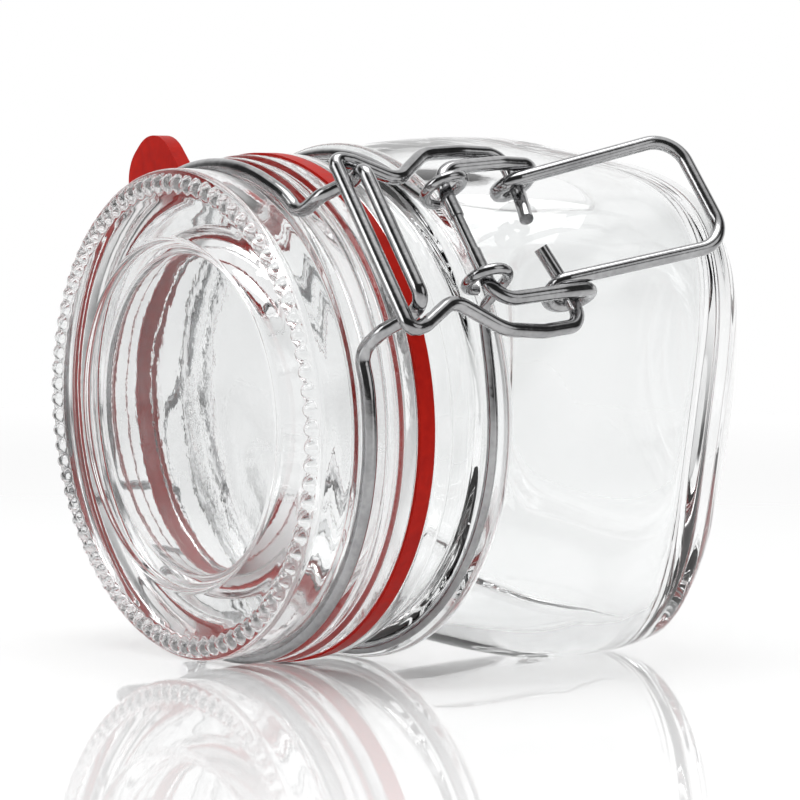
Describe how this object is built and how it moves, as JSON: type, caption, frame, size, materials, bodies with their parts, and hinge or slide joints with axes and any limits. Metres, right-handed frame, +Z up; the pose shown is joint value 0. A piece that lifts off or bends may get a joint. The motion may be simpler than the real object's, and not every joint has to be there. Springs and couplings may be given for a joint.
{
  "type": "clip-top jar",
  "caption": "Small square glass jar with a round glass lid, a rubber sealing ring and a wire clasp, lying on its side, empty.",
  "frame": {"origin": "on the floor, under the middle of the whole as it lies", "axes": "+Z up; +X along the floor from the lid towards the base; the clasp faces -Y and up"},
  "size_m": [0.0906, 0.0978, 0.0828],
  "materials": {
    "glass": "clear, smooth",
    "lid_glass": "clear, smooth, beaded edge",
    "rubber": "satin red-orange rubber",
    "steel": "bright drawn steel wire"
  },
  "bodies": {
    "jar": {"jar_body": "glass", "lid": "lid_glass", "seal_ring": "rubber", "lid_wire": "steel", "neck_wire": "steel"},
    "lever": {"lever": "steel"},
    "link": {"link": "steel"}
  },
  "joints": [
    {"name": "lever_swing", "type": "hinge", "parent": "jar", "child": "lever", "pos_m": [-0.01968, -0.03572, 0.06104], "axis": [0.0671, -0.5299, -0.8454], "range_deg": [0, 35]},
    {"name": "link_swing", "type": "hinge", "parent": "lever", "child": "link", "pos_m": [-0.00487, -0.03453, 0.06147], "axis": [0.0671, -0.5299, -0.8454], "range_deg": [-17.5, 0]}
  ],
  "couplings": [
    {"joint": "link_swing", "follows": "lever_swing", "ratio": -0.5}
  ]
}
